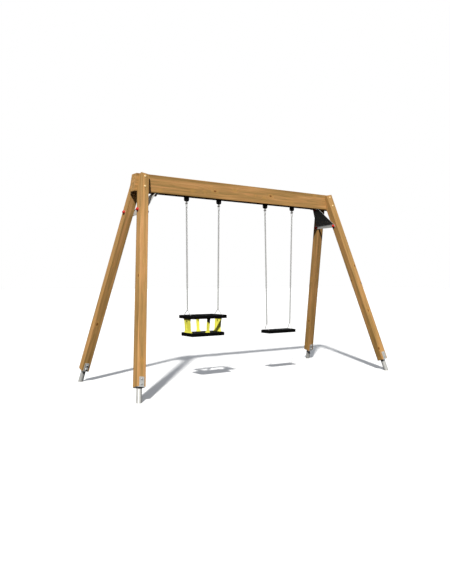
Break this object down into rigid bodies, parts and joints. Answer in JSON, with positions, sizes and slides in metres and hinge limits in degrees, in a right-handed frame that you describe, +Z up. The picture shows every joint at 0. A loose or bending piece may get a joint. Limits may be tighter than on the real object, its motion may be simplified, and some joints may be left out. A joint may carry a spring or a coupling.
{
  "type": "swing set",
  "caption": "Timber A-frame swing set: a beam on splayed legs with galvanised shoes, a caged cradle seat and a flat seat, each hung on chains from swivel hangers.",
  "frame": {"origin": "on the ground, under the middle of the beam", "axes": "+X along the beam towards the flat seat, +Y in the swinging direction, away from the front, +Z up"},
  "size_m": [3.7416, 1.5786, 2.3987],
  "materials": {
    "timber": "stained, oiled pine, planed",
    "galvanised_steel": "hot-dip galvanised, matt",
    "galvanised_fittings": "galvanised forgings and bent rod",
    "chain_steel": "galvanised short-link chain",
    "zinc_fasteners": "bright zinc plated",
    "dark_bolts": "black coated",
    "core_steel": "plain steel moulded into rubber",
    "bronze": "sintered bronze",
    "red_plastic": "moulded, slightly glossy",
    "tan_plastic": "moulded, matt",
    "black_nylon": "moulded glass-filled nylon",
    "black_rubber": "moulded rubber, satin",
    "yellow_plastic": "moulded polyethylene, satin"
  },
  "bodies": {
    "frame": {"beam": "timber", "leg_front_left": "timber", "leg_back_left": "timber", "leg_front_right": "timber", "leg_back_right": "timber", "shoe_front_left": "galvanised_steel", "shoe_back_left": "galvanised_steel", "shoe_front_right": "galvanised_steel", "shoe_back_right": "galvanised_steel", "shoe_bolts": "zinc_fasteners", "shoe_dome_nuts": "zinc_fasteners", "corner_bracket_left": "galvanised_steel", "corner_bracket_right": "galvanised_steel", "bracket_leg_bolts": "zinc_fasteners", "bracket_leg_nuts": "zinc_fasteners", "bracket_beam_screws": "zinc_fasteners", "bracket_washers": "galvanised_steel", "red_bolt_caps": "red_plastic", "beam_bolts": "zinc_fasteners", "beam_bolt_nuts": "zinc_fasteners", "beam_bolt_washers": "zinc_fasteners", "beam_bolt_plugs": "tan_plastic", "hanger_housings": "black_nylon", "hanger_pins": "zinc_fasteners", "hanger_bolts": "zinc_fasteners", "hanger_washers": "zinc_fasteners", "hanger_nuts": "zinc_fasteners"},
    "cradle_swing": {"cradle_swivel_eyes": "galvanised_fittings", "cradle_pivot_bushes": "bronze", "cradle_shackles": "galvanised_fittings", "cradle_shackle_pins": "galvanised_fittings", "cradle_chain_left": "chain_steel", "cradle_chain_right": "chain_steel"},
    "cradle_seat": {"cradle_bridles": "galvanised_fittings", "cradle_bridle_washers": "zinc_fasteners", "cradle_bridle_nuts": "zinc_fasteners", "cradle_top_ring": "black_rubber", "cradle_ring_core": "core_steel", "cradle_end_panels": "yellow_plastic", "cradle_front_back_bars": "yellow_plastic", "cradle_top_bolts": "dark_bolts", "cradle_top_nuts": "dark_bolts", "cradle_foot_screws": "dark_bolts", "cradle_lower_seat": "black_rubber", "cradle_seat_plate": "core_steel"},
    "flat_swing": {"flat_swivel_eyes": "galvanised_fittings", "flat_pivot_bushes": "bronze", "flat_shackles": "galvanised_fittings", "flat_shackle_pins": "galvanised_fittings", "flat_chain_left": "chain_steel", "flat_chain_right": "chain_steel"},
    "flat_seat": {"flat_bridles": "galvanised_fittings", "flat_bridle_washers": "zinc_fasteners", "flat_bridle_nuts": "zinc_fasteners", "flat_seat_pad": "black_rubber", "flat_seat_plate": "core_steel"}
  },
  "joints": [
    {"name": "cradle_swing_hinge", "type": "hinge", "parent": "frame", "child": "cradle_swing", "pos_m": [-0.597, 0, 2.16], "axis": [1, 0, 0], "range_deg": [-60, 60]},
    {"name": "cradle_seat_rock", "type": "hinge", "parent": "cradle_swing", "child": "cradle_seat", "pos_m": [-0.597, 0, 0.84595], "axis": [1, 0, 0], "range_deg": [-30, 30]},
    {"name": "flat_swing_hinge", "type": "hinge", "parent": "frame", "child": "flat_swing", "pos_m": [0.597, 0, 2.16], "axis": [1, 0, 0], "range_deg": [-60, 60]},
    {"name": "flat_seat_rock", "type": "hinge", "parent": "flat_swing", "child": "flat_seat", "pos_m": [0.597, 0, 0.63978], "axis": [1, 0, 0], "range_deg": [-30, 30]}
  ]
}
